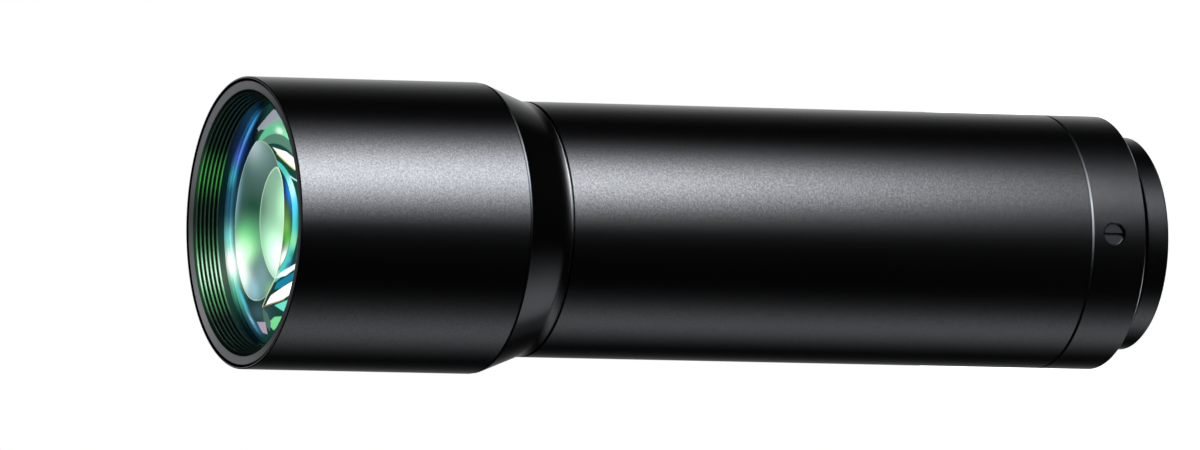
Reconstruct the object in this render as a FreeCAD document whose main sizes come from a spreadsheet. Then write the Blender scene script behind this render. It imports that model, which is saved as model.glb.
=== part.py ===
import FreeCAD, Part
import math
import os
import re

import Sketcher

# A telecentric lens of 36 mm barrel, standing on its rear collar. Millimetres, +Z up along the optical axis.
# The origin is the centre of the collar's rear face. Every piece is turned about Z.

# Driving dimensions, each written once
SIZES = {
    # outside, from the rear collar to the front mouth
    "collar_length": 5.0,
    "rear_ring_length": 8.4,
    "main_barrel_length": 80.6,
    "taper_length": 7.5,
    "front_barrel_length": 35.0,
    "barrel_dia": 36.0,
    "edge_chamfer": 0.2,
    "collar_chamfer": 0.35,
    "seam_width": 0.3,
    "seam_depth": 0.3,
    "taper_land": 1.1,
    "taper_blend": 4.0,
    # fits
    "slide_fit": 0.05,
    "cement_gap": 0.02,
    "end_clearance": 0.5,
    "taper_rise": 2.5,
    # mouth and filter ring
    "filter_thread_length": 2.4,
    "thread_lead": 0.35,
    "thread_lead_width": 0.9,
    "light_trap_length": 2.08,
    "light_trap_clear": 0.05,
    "filter_wall": 1.7,
    "filter_recess": 0.12,
    "filter_flange": 1.0,
    "mouth_wall": 0.7,
    "rim_wall": 0.25,
    "joint_gap": 0.22,
    # front retaining ring
    "front_ring_step": 0.8,
    "front_ring_wall": 0.8,
    "front_ring_height": 2.7,
    "front_ring_lip": 0.7,
    "front_ring_grip": 0.8,
    "front_ring_bevel": 0.4,
    "spanner_slot": 1.6,
    "spanner_depth": 0.5,
    # front doublet, second lens and their spacer
    "crown_front_radius": 58.0,
    "crown_edge": 1.7,
    "cement_radius": 44.0,
    "flint_thickness": 2.4,
    "flint_rear_radius": 180.0,
    "front_spacer_length": 8.2,
    "spacer_wall": 1.0,
    "second_lens_thickness": 5.0,
    "second_lens_radius": 75.0,
    "front_shoulder": 3.0,
    "front_shoulder_step": 1.2,
    # threaded spigots of the taper ring
    "front_spigot_wall": 2.5,
    "rear_spigot_wall": 1.6,
    "rear_spigot_length": 6.5,
    # third lens in the taper ring
    "third_lens_wall": 1.9,
    "third_lens_thickness": 5.9,
    "third_lens_radius": 48.0,
    "third_seat_height": 5.0,
    "third_seat_step": 1.3,
    "third_ring_step": 0.5,
    "third_ring_grip": 1.15,
    "third_ring_height": 2.5,
    # main barrel
    "barrel_wall": 2.2,
    "web_height": 40.6,
    "web_thickness": 3.0,
    "web_step": 4.8,
    # aperture stop
    "stop_holder_height": 5.0,
    "stop_disc_seat": 5.5,
    "stop_recess_depth": 2.0,
    "stop_disc_inset": 4.8,
    "aperture_disc_thickness": 0.3,
    "aperture_dia": 6.8,
    "stop_ring_height": 1.5,
    "stop_ring_wall": 3.0,
    # baffle tube
    "baffle_wall": 3.0,
    "baffle_groove_depth": 1.5,
    "baffle_edge": 2.1,
    "baffle_grooves": 3,
    # rear cell and its lenses
    "cell_band": 7.0,
    "cell_waist_depth": 2.75,
    "cell_lip": 2.0,
    "cell_lip_grip": 0.9,
    "rear_lens_inset": 6.3,
    "rear_crown_radius": 30.0,
    "rear_crown_edge": 1.7,
    "rear_cement_radius": 24.0,
    "rear_flint_thickness": 2.4,
    "rear_flint_radius": 60.0,
    "rear_spacer_length": 4.0,
    "singlet_thickness": 3.4,
    "singlet_radius": 35.0,
    "cell_thread_step": 0.5,
    "rear_retainer_height": 3.0,
    "rear_retainer_grip": 1.0,
    "cell_rear_step": 1.5,
    "cell_rear_depth": 11.0,
    # rear ring, collar, shim and screws
    "collar_seat": 4.05,
    "camera_thread_length": 4.9,
    "collar_wall": 1.65,
    "collar_flange": 1.15,
    "collar_bore_step": 0.7,
    "collar_spigot_length": 7.9,
    "ring_spigot_length": 6.6,
    "ring_spigot_step": 1.45,
    "shim_thickness": 0.3,
    "shim_inset": 0.25,
    "screw_dia": 3.0,
    "screw_countersink": 0.25,
    "screw_inset": 5.0,
    "screw_recess": 0.5,
    "screw_slot_width": 0.4,
    "screw_slot_depth": 0.8,
    "screw_count": 3,
    "screw_turn": 4.25,
    "groove_depth": 0.7,
}

# Diameters and places that follow from them, from the rear to the front
PLACES = {
    "collar_spigot_dia": "barrel_dia - 2 * collar_seat",
    "camera_thread_dia": "collar_spigot_dia - 2 * collar_wall",
    "collar_dia": "collar_spigot_dia + 2 * collar_flange",
    "collar_bore_dia": "camera_thread_dia - 2 * collar_bore_step",
    "ring_spigot_bore": "collar_spigot_dia - 2 * ring_spigot_step",
    "rear_spigot_dia": "barrel_dia - 2 * rear_spigot_wall",
    "barrel_bore_dia": "barrel_dia - 2 * barrel_wall",
    "baffle_bore": "barrel_bore_dia - 2 * baffle_wall",
    "baffle_groove_dia": "baffle_bore + 2 * baffle_groove_depth",
    "cell_waist_dia": "barrel_bore_dia - 2 * cell_waist_depth",
    "rear_lens_dia": "barrel_bore_dia - 2 * rear_lens_inset",
    "cell_lip_dia": "rear_lens_dia - 2 * cell_lip_grip",
    "cell_thread_dia": "rear_lens_dia + 2 * cell_thread_step",
    "cell_rear_bore": "cell_thread_dia + 2 * cell_rear_step",
    "rear_retainer_bore": "rear_lens_dia - 2 * rear_retainer_grip",
    "web_bore_dia": "barrel_bore_dia - 2 * web_step",
    "aperture_disc_dia": "barrel_bore_dia - 2 * stop_disc_inset",
    "stop_holder_bore": "aperture_disc_dia - 2 * stop_disc_seat",
    "stop_ring_bore": "aperture_disc_dia - 2 * stop_ring_wall",
    "third_lens_dia": "rear_spigot_dia - 2 * third_lens_wall",
    "third_seat_dia": "third_lens_dia - 2 * third_seat_step",
    "third_ring_dia": "third_lens_dia + 2 * third_ring_step",
    "third_ring_bore": "third_lens_dia - 2 * third_ring_grip",
    "front_dia": "barrel_dia + 2 * taper_rise",
    "filter_spigot_dia": "front_dia - 2 * mouth_wall",
    "filter_thread_dia": "filter_spigot_dia - 2 * filter_wall",
    "front_ring_dia": "filter_spigot_dia - 2 * front_ring_step",
    "front_lens_dia": "front_ring_dia - 2 * front_ring_wall",
    "front_ring_bore": "front_lens_dia - 2 * front_ring_grip",
    "light_trap_dia": "front_ring_bore + 2 * light_trap_clear",
    "front_shoulder_dia": "front_lens_dia - 2 * front_shoulder_step",
    "front_spigot_dia": "front_dia - 2 * front_spigot_wall",
    "ring_rear": "collar_length",
    "barrel_rear": "ring_rear + rear_ring_length",
    "barrel_front": "barrel_rear + main_barrel_length",
    "taper_front": "barrel_front + taper_length",
    "mouth": "taper_front + front_barrel_length",
    "collar_face": "collar_length - shim_thickness",
    "collar_spigot_end": "collar_length + collar_spigot_length",
    "screw_seat": "collar_spigot_dia / 2 - groove_depth",
    "screw_height": "ring_rear + screw_inset",
    "cell_rear": "barrel_rear + ring_spigot_length",
    "cell_thread_end": "cell_rear + cell_rear_depth",
    "web_rear": "barrel_rear + web_height",
    "web_front": "web_rear + web_thickness",
    "stop_front": "web_front + stop_holder_height",
    "disc_seat": "stop_front - stop_recess_depth",
    "disc_front": "disc_seat + aperture_disc_thickness",
    "rear_spigot_end": "barrel_front - rear_spigot_length",
    "baffle_pitch": "(rear_spigot_end - stop_front - baffle_edge) / baffle_grooves",
    "filter_face": "mouth - filter_recess",
    "filter_thread_end": "filter_face - filter_thread_length",
    "filter_end": "filter_thread_end - light_trap_length",
    "front_ring_end": "filter_end - front_ring_height",
    "front_lip": "filter_end - front_ring_lip",
}


def rise(radius, reach):
    """How far a sphere's vertex stands beyond its circle of this reach, as an expression."""
    return f"({radius} - sqrt({radius}^2 - ({reach})^2))"


# Lens vertices and seats: a ring, lip or spacer touches a convex face at the ring's inner edge, and a concave
# one at the lens's rim
FRONT_REACH = "front_lens_dia / 2 - spacer_wall"
REAR_REACH = "rear_lens_dia / 2 - spacer_wall"
PLACES["crown_vertex"] = "front_lip + " + rise("crown_front_radius", "front_ring_bore / 2")
PLACES["cement_vertex"] = (
    "crown_vertex - crown_edge - " + rise("crown_front_radius", "front_lens_dia / 2") + " - "
    + rise("cement_radius", "front_lens_dia / 2")
)
PLACES["flint_vertex"] = "cement_vertex - cement_gap - flint_thickness"
PLACES["spacer_front"] = "flint_vertex + " + rise("flint_rear_radius", FRONT_REACH)
PLACES["spacer_rear"] = "spacer_front - front_spacer_length"
PLACES["second_vertex"] = "spacer_rear + " + rise("second_lens_radius", FRONT_REACH)
PLACES["front_seat"] = "second_vertex - second_lens_thickness"
PLACES["front_spigot_end"] = "front_seat - front_shoulder - end_clearance"
PLACES["third_seat"] = "rear_spigot_end + third_seat_height"
PLACES["third_vertex"] = "third_seat + third_lens_thickness"
PLACES["third_ring_rear"] = "third_vertex - " + rise("third_lens_radius", "third_ring_bore / 2")
PLACES["rear_crown_vertex"] = "web_rear - cell_lip + " + rise("rear_crown_radius", "cell_lip_dia / 2")
PLACES["rear_cement_vertex"] = (
    "rear_crown_vertex - rear_crown_edge - " + rise("rear_crown_radius", "rear_lens_dia / 2") + " - "
    + rise("rear_cement_radius", "rear_lens_dia / 2")
)
PLACES["rear_flint_vertex"] = "rear_cement_vertex - cement_gap - rear_flint_thickness"
PLACES["rear_spacer_front"] = "rear_flint_vertex - " + rise("rear_flint_radius", "rear_lens_dia / 2")
PLACES["rear_spacer_rear"] = "rear_spacer_front - rear_spacer_length"
PLACES["singlet_vertex"] = "rear_spacer_rear + " + rise("singlet_radius", REAR_REACH)
PLACES["singlet_seat"] = "singlet_vertex - singlet_thickness"

doc = FreeCAD.newDocument("telecentric_lens")
pieces = []
sheet = doc.addObject("Spreadsheet::Sheet", "Sizes")
names = list(SIZES) + list(PLACES)
WORD = re.compile(r"[a-z_]+")


def bound(text):
    """The expression with every size named as the sheet's own."""
    return WORD.sub(lambda word: "Sizes." + word[0] if word[0] in names else word[0], str(text))


for row, name in enumerate(names, start=1):
    sheet.set(f"A{row}", name)
    sheet.set(f"B{row}", str(SIZES[name]) if name in SIZES else "=" + PLACES[name])
    sheet.setAlias(f"B{row}", name)
doc.recompute()


def size(text):
    """The value of an expression of the sheet's sizes."""
    value = sheet.evalExpression(bound(text))
    return float(getattr(value, "Value", value))


def plane_of(body, role):
    return next(face for face in body.Origin.OriginFeatures if face.Role == role)


def sketch_on(body, role, name):
    sketch = body.newObject("Sketcher::SketchObject", name)
    sketch.AttachmentSupport = [(plane_of(body, role), "")]
    sketch.MapMode = "FlatFace"
    return sketch


def hold(sketch, kind, geometry, point, text):
    """Hold one coordinate of a sketch point to an expression, or to the axis where it is 0."""
    if text == "0":
        axis = -2 if kind == "DistanceX" else -1
        sketch.addConstraint(Sketcher.Constraint("PointOnObject", geometry, point, axis))
        return
    index = sketch.addConstraint(Sketcher.Constraint(kind, -1, 1, geometry, point, size(text)))
    sketch.setExpression(f"Constraints[{index}]", bound(text))


def outline(sketch, corners):
    """Draw a closed outline of (radius, height) corners."""
    points = [FreeCAD.Vector(size(radius), size(height), 0) for radius, height in corners]
    count = len(points)
    for index, point in enumerate(points):
        sketch.addGeometry(Part.LineSegment(point, points[(index + 1) % count]), False)
    for index, (radius, height) in enumerate(corners):
        sketch.addConstraint(Sketcher.Constraint("Coincident", index, 2, (index + 1) % count, 1))
        hold(sketch, "DistanceX", index, 1, radius)
        hold(sketch, "DistanceY", index, 1, height)


def turned(name, corners):
    """A piece turned about Z from its outline."""
    body = doc.addObject("PartDesign::Body", name)
    body.Label = name
    sketch = sketch_on(body, "XZ_Plane", name + "_outline")
    outline(sketch, corners)
    turning = body.newObject("PartDesign::Revolution", name + "_turning")
    turning.Profile = sketch
    turning.ReferenceAxis = (sketch, ["V_Axis"])
    turning.Angle = 360
    doc.recompute()
    pieces.append(body)
    return body


def lens(name, diameter, rear, front, faces):
    """A lens: a rod of glass from the rear place to the front one, ground by a sphere for each face.
    A face is (radius, vertex, side, hollow). Its side is 1 where it bulges to the front, and -1 to the rear.
    A hollow face is cut into the glass, and any other leaves only what lies inside its sphere."""
    rod = doc.addObject("Part::Cylinder", name + "_rod")
    rod.setExpression("Radius", bound(f"{diameter} / 2"))
    rod.setExpression("Height", bound(f"{front} - ({rear})"))
    rod.setExpression("Placement.Base.z", bound(rear))
    glass = rod
    for index, (radius, vertex, side, hollow) in enumerate(faces, start=1):
        tool = doc.addObject("Part::Sphere", f"{name}_sphere_{index}")
        tool.setExpression("Radius", bound(radius))
        tool.Placement = FreeCAD.Placement(FreeCAD.Vector(), FreeCAD.Rotation(FreeCAD.Vector(1, 0, 0), 90))
        tool.setExpression("Placement.Base.z", bound(f"{vertex} - {side} * {radius}"))
        ground = doc.addObject("Part::Cut" if hollow else "Part::Common", f"{name}_ground_{index}")
        ground.Base = glass
        ground.Tool = tool
        glass = ground
    glass.Label = name
    doc.recompute()
    pieces.append(glass)


def rims(body, places):
    """The names of the round edges at these (radius, height) places."""
    found = []
    for radius, height in places:
        wanted = (size(radius), size(height))
        for index, edge in enumerate(body.Shape.Edges, start=1):
            curve = edge.Curve
            if not isinstance(curve, Part.Circle):
                continue
            if math.isclose(curve.Radius, wanted[0], abs_tol=1e-4) and math.isclose(
                curve.Center.z, wanted[1], abs_tol=1e-4
            ):
                found.append(f"Edge{index}")
                break
        else:
            raise ValueError(f"{body.Label} has no edge at {radius}, {height}")
    return found


def eased(body, kind, amount, places):
    """Chamfer or Fillet the round edges at these places."""
    feature = body.newObject("PartDesign::" + kind, body.Name + "_" + kind.lower())
    feature.Base = (body.Tip if body.Tip != feature else feature.BaseFeature, rims(body, places))
    feature.setExpression("Size" if kind == "Chamfer" else "Radius", bound(amount))
    doc.recompute()


def spanner_slots(body, height, reach, depth):
    """Two slots across a ring's front face, for a spanner."""
    sketch = sketch_on(body, "XY_Plane", body.Name + "_slots")
    sketch.AttachmentOffset = FreeCAD.Placement(FreeCAD.Vector(0, 0, size(height)), FreeCAD.Rotation())
    sketch.setExpression("AttachmentOffset.Base.z", bound(height))
    half = (size(reach), size("spanner_slot / 2"))
    corners = [(-half[0], -half[1]), (half[0], -half[1]), (half[0], half[1]), (-half[0], half[1])]
    for index, corner in enumerate(corners):
        after = corners[(index + 1) % 4]
        sketch.addGeometry(Part.LineSegment(FreeCAD.Vector(*corner, 0), FreeCAD.Vector(*after, 0)), False)
    for index in range(4):
        sketch.addConstraint(Sketcher.Constraint("Coincident", index, 2, (index + 1) % 4, 1))
    for index in (0, 2):
        sketch.addConstraint(Sketcher.Constraint("Horizontal", index))
        sketch.addConstraint(Sketcher.Constraint("Vertical", index + 1))
    sketch.addConstraint(Sketcher.Constraint("Symmetric", 0, 1, 1, 2, -1, 1))
    hold(sketch, "DistanceX", 1, 2, reach)
    hold(sketch, "DistanceY", 1, 2, "spanner_slot / 2")
    slots = body.newObject("PartDesign::Pocket", body.Name + "_slotting")
    slots.Profile = sketch
    slots.setExpression("Length", bound(depth))
    doc.recompute()


# Front barrel: the wide sleeve. From its mouth, a thin lip round the filter ring's flange, the thread that
# takes its spigot, the thread of the retaining ring, the bore of the lenses, and their shoulder.
front_barrel = turned(
    "front_barrel",
    [
        ("front_dia / 2 - seam_depth", "taper_front"),
        ("front_dia / 2 - seam_depth", "taper_front + seam_width"),
        ("front_dia / 2", "taper_front + seam_width"),
        ("front_dia / 2", "mouth"),
        ("front_dia / 2 - rim_wall", "mouth"),
        ("front_dia / 2 - rim_wall", "filter_face - filter_flange"),
        ("filter_spigot_dia / 2 + slide_fit", "filter_face - filter_flange"),
        ("filter_spigot_dia / 2 + slide_fit", "filter_end"),
        ("front_ring_dia / 2 + slide_fit", "filter_end"),
        ("front_ring_dia / 2 + slide_fit", "front_ring_end"),
        ("front_lens_dia / 2 + slide_fit", "front_ring_end"),
        ("front_lens_dia / 2 + slide_fit", "front_seat"),
        ("front_shoulder_dia / 2", "front_seat"),
        ("front_shoulder_dia / 2", "front_seat - front_shoulder"),
        ("front_spigot_dia / 2 + slide_fit", "front_seat - front_shoulder"),
        ("front_spigot_dia / 2 + slide_fit", "taper_front"),
    ],
)
eased(front_barrel, "Chamfer", "rim_wall / 2", [("front_dia / 2", "mouth")])

# Filter thread ring: a flange that lies a little below the lip, and a spigot with the thread inside. Behind
# the thread the bore narrows towards the glass; its ridges there only trap stray light. It goes in last.
filter_ring = turned(
    "filter_thread_ring",
    [
        ("filter_thread_dia / 2", "filter_thread_end"),
        ("light_trap_dia / 2", "filter_end"),
        ("filter_spigot_dia / 2", "filter_end"),
        ("filter_spigot_dia / 2", "filter_face - filter_flange"),
        ("front_dia / 2 - rim_wall - joint_gap", "filter_face - filter_flange"),
        ("front_dia / 2 - rim_wall - joint_gap", "filter_face"),
        ("filter_thread_dia / 2 + thread_lead_width", "filter_face"),
        ("filter_thread_dia / 2", "filter_face - thread_lead"),
    ],
)

# Front retaining ring: its lip bears on the front glass, and its skirt is threaded in the barrel
front_retainer = turned(
    "front_retaining_ring",
    [
        ("front_lens_dia / 2 + slide_fit", "front_ring_end"),
        ("front_ring_dia / 2", "front_ring_end"),
        ("front_ring_dia / 2", "filter_end"),
        ("front_ring_bore / 2", "filter_end"),
        ("front_ring_bore / 2", "front_lip"),
        ("front_lens_dia / 2 + slide_fit", "front_lip"),
    ],
)
eased(front_retainer, "Chamfer", "front_ring_bevel", [("front_ring_bore / 2", "filter_end")])
spanner_slots(front_retainer, "filter_end", "front_ring_dia / 2 + slide_fit", "spanner_depth")

# Front doublet: a thick crown, convex on both sides, with a flint cemented behind it
lens(
    "front_crown_lens",
    "front_lens_dia",
    "cement_vertex - end_clearance",
    "crown_vertex + end_clearance",
    [("crown_front_radius", "crown_vertex", 1, False), ("cement_radius", "cement_vertex", -1, False)],
)
lens(
    "front_flint_lens",
    "front_lens_dia",
    "flint_vertex - end_clearance",
    "cement_vertex - cement_gap + " + rise("cement_radius", "front_lens_dia / 2"),
    [
        ("flint_rear_radius", "flint_vertex", -1, False),
        ("cement_radius", "(cement_vertex - cement_gap)", -1, True),
    ],
)

# Spacer between the doublet and the second lens
turned(
    "front_lens_spacer",
    [
        ("front_lens_dia / 2 - spacer_wall", "spacer_rear"),
        ("front_lens_dia / 2", "spacer_rear"),
        ("front_lens_dia / 2", "spacer_front"),
        ("front_lens_dia / 2 - spacer_wall", "spacer_front"),
    ],
)

# Second lens: convex towards the front, flat against its shoulder
lens(
    "second_lens",
    "front_lens_dia",
    "front_seat",
    "second_vertex + end_clearance",
    [("second_lens_radius", "second_vertex", 1, False)],
)

# Taper ring: a cone from the wide sleeve down to the barrel, blended into a short land, with a threaded
# spigot at each end and the seat of the third lens inside
taper_ring = turned(
    "taper_ring",
    [
        ("third_seat_dia / 2", "rear_spigot_end"),
        ("rear_spigot_dia / 2", "rear_spigot_end"),
        ("rear_spigot_dia / 2", "barrel_front"),
        ("barrel_dia / 2", "barrel_front"),
        ("barrel_dia / 2", "barrel_front + taper_land"),
        ("front_dia / 2", "taper_front"),
        ("front_spigot_dia / 2", "taper_front"),
        ("front_spigot_dia / 2", "front_spigot_end"),
        ("third_ring_dia / 2 + slide_fit", "front_spigot_end"),
        ("third_ring_dia / 2 + slide_fit", "third_ring_rear - slide_fit"),
        ("third_lens_dia / 2 + slide_fit", "third_ring_rear - slide_fit"),
        ("third_lens_dia / 2 + slide_fit", "third_seat"),
        ("third_seat_dia / 2", "third_seat"),
    ],
)
eased(taper_ring, "Fillet", "taper_blend", [("barrel_dia / 2", "barrel_front + taper_land")])
taper_corners = [("front_dia / 2", "taper_front"), ("barrel_dia / 2", "barrel_front")]
eased(taper_ring, "Chamfer", "edge_chamfer", taper_corners)

# Third lens and its retaining ring
lens(
    "third_lens",
    "third_lens_dia",
    "third_seat",
    "third_vertex + end_clearance",
    [("third_lens_radius", "third_vertex", 1, False)],
)
third_retainer = turned(
    "third_lens_retaining_ring",
    [
        ("third_ring_bore / 2", "third_ring_rear"),
        ("third_ring_dia / 2", "third_ring_rear"),
        ("third_ring_dia / 2", "third_ring_rear + third_ring_height"),
        ("third_ring_bore / 2", "third_ring_rear + third_ring_height"),
    ],
)
spanner_slots(
    third_retainer, "third_ring_rear + third_ring_height", "third_ring_dia / 2 + slide_fit", "spanner_depth"
)

# Main barrel: a tube, threaded at both ends, with a web inside for the aperture and the rear cell
turned(
    "main_barrel",
    [
        ("rear_spigot_dia / 2 + slide_fit", "barrel_rear"),
        ("barrel_dia / 2 - seam_depth", "barrel_rear"),
        ("barrel_dia / 2 - seam_depth", "barrel_rear + seam_width"),
        ("barrel_dia / 2", "barrel_rear + seam_width"),
        ("barrel_dia / 2", "barrel_front - seam_width"),
        ("barrel_dia / 2 - seam_depth", "barrel_front - seam_width"),
        ("barrel_dia / 2 - seam_depth", "barrel_front"),
        ("rear_spigot_dia / 2 + slide_fit", "barrel_front"),
        ("rear_spigot_dia / 2 + slide_fit", "rear_spigot_end - end_clearance"),
        ("barrel_bore_dia / 2", "rear_spigot_end - end_clearance"),
        ("barrel_bore_dia / 2", "web_front"),
        ("web_bore_dia / 2", "web_front"),
        ("web_bore_dia / 2", "web_rear"),
        ("barrel_bore_dia / 2", "web_rear"),
        ("barrel_bore_dia / 2", "cell_rear + end_clearance"),
        ("rear_spigot_dia / 2 + slide_fit", "cell_rear + end_clearance"),
    ],
)

# Baffle tube: pushed in from the front between the stop holder and the taper ring, with square grooves that
# leave thin edges to catch stray light
baffle_tube = turned(
    "baffle_tube",
    [
        ("baffle_bore / 2", "stop_front"),
        ("barrel_bore_dia / 2 - slide_fit", "stop_front"),
        ("barrel_bore_dia / 2 - slide_fit", "rear_spigot_end"),
        ("baffle_bore / 2", "rear_spigot_end"),
    ],
)
groove_sketch = sketch_on(baffle_tube, "XZ_Plane", "baffle_groove_outline")
outline(
    groove_sketch,
    [
        ("baffle_bore / 2 - slide_fit", "stop_front + baffle_edge"),
        ("baffle_groove_dia / 2", "stop_front + baffle_edge"),
        ("baffle_groove_dia / 2", "stop_front + baffle_pitch"),
        ("baffle_bore / 2 - slide_fit", "stop_front + baffle_pitch"),
    ],
)
groove = baffle_tube.newObject("PartDesign::Groove", "baffle_groove")
groove.Profile = groove_sketch
groove.ReferenceAxis = (groove_sketch, ["V_Axis"])
groove.Angle = 360
doc.recompute()
row_of_grooves = baffle_tube.newObject("PartDesign::LinearPattern", "baffle_grooves")
row_of_grooves.Originals = [groove]
row_of_grooves.Direction = (groove_sketch, ["V_Axis"])
row_of_grooves.setExpression("Length", bound("baffle_pitch * (baffle_grooves - 1)"))
row_of_grooves.setExpression("Occurrences", bound("baffle_grooves"))
baffle_tube.Tip = row_of_grooves
doc.recompute()

# Aperture stop: a holder against the web, the thin disc in its recess, and the ring that keeps it there
turned(
    "stop_holder",
    [
        ("stop_holder_bore / 2", "web_front"),
        ("barrel_bore_dia / 2 - slide_fit", "web_front"),
        ("barrel_bore_dia / 2 - slide_fit", "stop_front"),
        ("aperture_disc_dia / 2 + slide_fit", "stop_front"),
        ("aperture_disc_dia / 2 + slide_fit", "disc_seat"),
        ("stop_holder_bore / 2", "disc_seat"),
    ],
)
turned(
    "aperture_disc",
    [
        ("aperture_dia / 2", "disc_seat"),
        ("aperture_disc_dia / 2", "disc_seat"),
        ("aperture_disc_dia / 2", "disc_front"),
        ("aperture_dia / 2 + aperture_disc_thickness", "disc_front"),
    ],
)
stop_retainer = turned(
    "stop_retaining_ring",
    [
        ("stop_ring_bore / 2", "disc_front"),
        ("aperture_disc_dia / 2", "disc_front"),
        ("aperture_disc_dia / 2", "disc_front + stop_ring_height"),
        ("stop_ring_bore / 2", "disc_front + stop_ring_height"),
    ],
)
spanner_slots(
    stop_retainer, "disc_front + stop_ring_height", "aperture_disc_dia / 2 + slide_fit", "spanner_depth"
)

# Rear lens cell: pushed in from the rear against the web, with a lip for the doublet at its front end and
# a thread for the retaining ring behind the lenses
turned(
    "rear_lens_cell",
    [
        ("cell_rear_bore / 2", "cell_rear"),
        ("barrel_bore_dia / 2 - slide_fit", "cell_rear"),
        ("barrel_bore_dia / 2 - slide_fit", "cell_rear + cell_band"),
        ("cell_waist_dia / 2", "cell_rear + cell_band"),
        ("cell_waist_dia / 2", "web_rear - cell_band"),
        ("barrel_bore_dia / 2 - slide_fit", "web_rear - cell_band"),
        ("barrel_bore_dia / 2 - slide_fit", "web_rear"),
        ("cell_lip_dia / 2", "web_rear"),
        ("cell_lip_dia / 2", "web_rear - cell_lip"),
        ("rear_lens_dia / 2 + slide_fit", "web_rear - cell_lip"),
        ("rear_lens_dia / 2 + slide_fit", "singlet_seat"),
        ("cell_thread_dia / 2 + slide_fit", "singlet_seat"),
        ("cell_thread_dia / 2 + slide_fit", "cell_thread_end"),
        ("cell_rear_bore / 2", "cell_thread_end"),
    ],
)

# Rear doublet, spacer, singlet and retaining ring
lens(
    "rear_crown_lens",
    "rear_lens_dia",
    "rear_cement_vertex - end_clearance",
    "rear_crown_vertex + end_clearance",
    [
        ("rear_crown_radius", "rear_crown_vertex", 1, False),
        ("rear_cement_radius", "rear_cement_vertex", -1, False),
    ],
)
lens(
    "rear_flint_lens",
    "rear_lens_dia",
    "rear_spacer_front",
    "rear_cement_vertex - cement_gap + " + rise("rear_cement_radius", "rear_lens_dia / 2"),
    [
        ("rear_flint_radius", "rear_flint_vertex", 1, True),
        ("rear_cement_radius", "(rear_cement_vertex - cement_gap)", -1, True),
    ],
)
turned(
    "rear_lens_spacer",
    [
        ("rear_lens_dia / 2 - spacer_wall", "rear_spacer_rear"),
        ("rear_lens_dia / 2", "rear_spacer_rear"),
        ("rear_lens_dia / 2", "rear_spacer_front"),
        ("rear_lens_dia / 2 - spacer_wall", "rear_spacer_front"),
    ],
)
lens(
    "rear_singlet_lens",
    "rear_lens_dia",
    "singlet_seat",
    "singlet_vertex + end_clearance",
    [("singlet_radius", "singlet_vertex", 1, False)],
)
turned(
    "rear_retaining_ring",
    [
        ("rear_retainer_bore / 2", "singlet_seat - rear_retainer_height"),
        ("cell_thread_dia / 2", "singlet_seat - rear_retainer_height"),
        ("cell_thread_dia / 2", "singlet_seat"),
        ("rear_retainer_bore / 2", "singlet_seat"),
    ],
)

# Rear ring: screwed into the barrel, bored for the collar's spigot, with the tapped holes of the grub screws
rear_ring = turned(
    "rear_ring",
    [
        ("collar_spigot_dia / 2 + slide_fit", "ring_rear"),
        ("barrel_dia / 2", "ring_rear"),
        ("barrel_dia / 2", "barrel_rear"),
        ("rear_spigot_dia / 2", "barrel_rear"),
        ("rear_spigot_dia / 2", "cell_rear"),
        ("ring_spigot_bore / 2", "cell_rear"),
        ("ring_spigot_bore / 2", "collar_spigot_end + slide_fit"),
        ("collar_spigot_dia / 2 + slide_fit", "collar_spigot_end + slide_fit"),
    ],
)
ring_corners = [("barrel_dia / 2", "ring_rear"), ("barrel_dia / 2", "barrel_rear")]
eased(rear_ring, "Chamfer", "edge_chamfer", ring_corners)
hole_sketch = sketch_on(rear_ring, "XZ_Plane", "screw_hole_centre")
hole_sketch.AttachmentOffset = FreeCAD.Placement(
    FreeCAD.Vector(0, 0, 0), FreeCAD.Rotation(FreeCAD.Vector(0, 1, 0), size("screw_turn"))
)
hole_sketch.setExpression("AttachmentOffset.Base.x", bound("barrel_dia / 2 * sin(screw_turn)"))
hole_sketch.setExpression("AttachmentOffset.Base.z", bound("barrel_dia / 2 * cos(screw_turn)"))
hole_sketch.addGeometry(
    Part.Circle(
        FreeCAD.Vector(0, size("screw_height"), 0), FreeCAD.Vector(0, 0, 1), size("screw_dia / 2")
    ),
    False
)
hold(hole_sketch, "DistanceX", 0, 3, "0")
hold(hole_sketch, "DistanceY", 0, 3, "screw_height")
held = hole_sketch.addConstraint(Sketcher.Constraint("Radius", 0, size("screw_dia / 2")))
hole_sketch.setExpression(f"Constraints[{held}]", bound("screw_dia / 2"))
doc.recompute()
screw_hole = rear_ring.newObject("PartDesign::Hole", "screw_hole")
screw_hole.Profile = hole_sketch
screw_hole.ThreadType = "None"
screw_hole.DepthType = "Dimension"
screw_hole.DrillPoint = "Flat"
screw_hole.setExpression("Diameter", bound("screw_dia"))
screw_hole.setExpression("Depth", bound("(barrel_dia - collar_spigot_dia) / 2 + end_clearance"))
screw_hole.HoleCutType = "Countersink"
screw_hole.HoleCutCustomValues = True
screw_hole.setExpression("HoleCutDiameter", bound("screw_dia + 2 * screw_countersink"))
screw_hole.HoleCutCountersinkAngle = 90
doc.recompute()
ring_of_holes = rear_ring.newObject("PartDesign::PolarPattern", "screw_holes")
ring_of_holes.Originals = [screw_hole]
ring_of_holes.Axis = (plane_of(rear_ring, "Z_Axis"), [""])
ring_of_holes.Angle = 360
ring_of_holes.setExpression("Occurrences", bound("screw_count"))
rear_ring.Tip = ring_of_holes
doc.recompute()

# Shim: sets the distance to the camera, and leaves the fine dark line under the ring
turned(
    "back_focus_shim",
    [
        ("collar_spigot_dia / 2 + slide_fit", "collar_face"),
        ("collar_dia / 2 - shim_inset", "collar_face"),
        ("collar_dia / 2 - shim_inset", "ring_rear"),
        ("collar_spigot_dia / 2 + slide_fit", "ring_rear"),
    ],
)

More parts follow.
